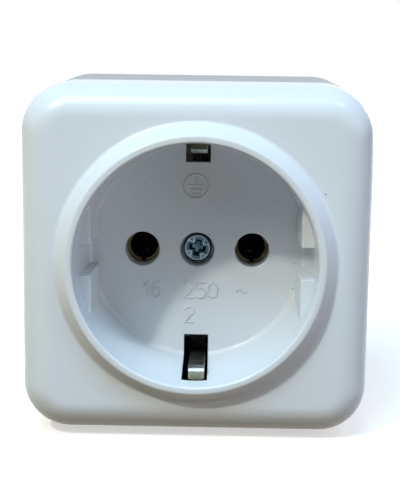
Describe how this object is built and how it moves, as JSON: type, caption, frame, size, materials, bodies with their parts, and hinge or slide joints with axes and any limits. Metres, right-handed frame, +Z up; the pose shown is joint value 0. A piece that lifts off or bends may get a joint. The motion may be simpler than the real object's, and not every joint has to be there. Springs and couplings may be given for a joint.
{
  "type": "surface mounted socket",
  "caption": "Square surface mounted wall socket with a round plug well, side earth springs, a removable cover and screw terminals.",
  "frame": {"origin": "middle of the flat back face that lies on the wall", "axes": "+Z up, +X to the right as seen from the front, +Y into the wall; the plug well faces -Y"},
  "size_m": [0.059, 0.042, 0.059],
  "materials": {
    "cover_plastic": "glossy cool white moulding",
    "base_plastic": "satin light grey-white moulding",
    "carrier_plastic": "matt dark moulded insulation",
    "brass": "stamped brass, slightly dulled",
    "plated_steel": "nickel plated strip with fine scratches",
    "screw_steel": "zinc plated, blue passivated"
  },
  "bodies": {
    "housing": {"base": "base_plastic", "contact_carrier": "carrier_plastic", "cover_nut": "brass", "earth_strap": "plated_steel", "earth_rivets": "screw_steel", "left_contact": "brass", "right_contact": "brass", "left_contact_clip": "plated_steel", "right_contact_clip": "plated_steel", "contact_rivets": "brass", "carrier_screws": "screw_steel"},
    "cover": {"front_cover": "cover_plastic"},
    "screw": {"cover_screw": "screw_steel"},
    "upper_spring": {"upper_earth_spring": "plated_steel"},
    "lower_spring": {"lower_earth_spring": "plated_steel"},
    "left_washer": {"left_clamp_washer": "plated_steel"},
    "right_washer": {"right_clamp_washer": "plated_steel"},
    "earth_washer": {"earth_clamp_washer": "plated_steel"},
    "left_screw": {"left_terminal_screw": "screw_steel"},
    "right_screw": {"right_terminal_screw": "screw_steel"},
    "earth_screw": {"earth_terminal_screw": "screw_steel"}
  },
  "joints": [
    {"name": "cover_pull", "type": "slide", "parent": "housing", "child": "cover", "axis": [0, -1, 0], "range_m": [0, 0.045]},
    {"name": "cover_screw_turn", "type": "hinge", "parent": "cover", "child": "screw", "pos_m": [0, -0.022, 0], "axis": [0, -1, 0], "continuous": true},
    {"name": "upper_spring_flex", "type": "hinge", "parent": "housing", "child": "upper_spring", "pos_m": [0.0003, -0.01712, 0.0165], "axis": [-1, 0, 0], "range_deg": [0, 4.5], "stiffness_Nm_per_rad": 1.5},
    {"name": "lower_spring_flex", "type": "hinge", "parent": "housing", "child": "lower_spring", "pos_m": [0.0003, -0.01712, -0.0165], "axis": [1, 0, 0], "range_deg": [0, 4.5], "stiffness_Nm_per_rad": 1.5},
    {"name": "left_washer_lift", "type": "slide", "parent": "housing", "child": "left_washer", "axis": [0, -1, 0], "range_m": [0, 0.0018]},
    {"name": "right_washer_lift", "type": "slide", "parent": "housing", "child": "right_washer", "axis": [0, -1, 0], "range_m": [0, 0.0018]},
    {"name": "earth_washer_lift", "type": "slide", "parent": "housing", "child": "earth_washer", "axis": [0, -1, 0], "range_m": [0, 0.0018]},
    {"name": "left_screw_turn", "type": "hinge", "parent": "left_washer", "child": "left_screw", "pos_m": [-0.02255, -0.0138, 0], "axis": [0, -1, 0], "range_deg": [0, 1080]},
    {"name": "right_screw_turn", "type": "hinge", "parent": "right_washer", "child": "right_screw", "pos_m": [0.02255, -0.0138, 0], "axis": [0, -1, 0], "range_deg": [0, 1080]},
    {"name": "earth_screw_turn", "type": "hinge", "parent": "earth_washer", "child": "earth_screw", "pos_m": [0.009, -0.018, 0.013], "axis": [0, -1, 0], "range_deg": [0, 1080]}
  ],
  "couplings": [
    {"joint": "left_screw_turn", "follows": "left_washer_lift", "rad_per_m": 10472},
    {"joint": "right_screw_turn", "follows": "right_washer_lift", "rad_per_m": 10472},
    {"joint": "earth_screw_turn", "follows": "earth_washer_lift", "rad_per_m": 10472}
  ]
}
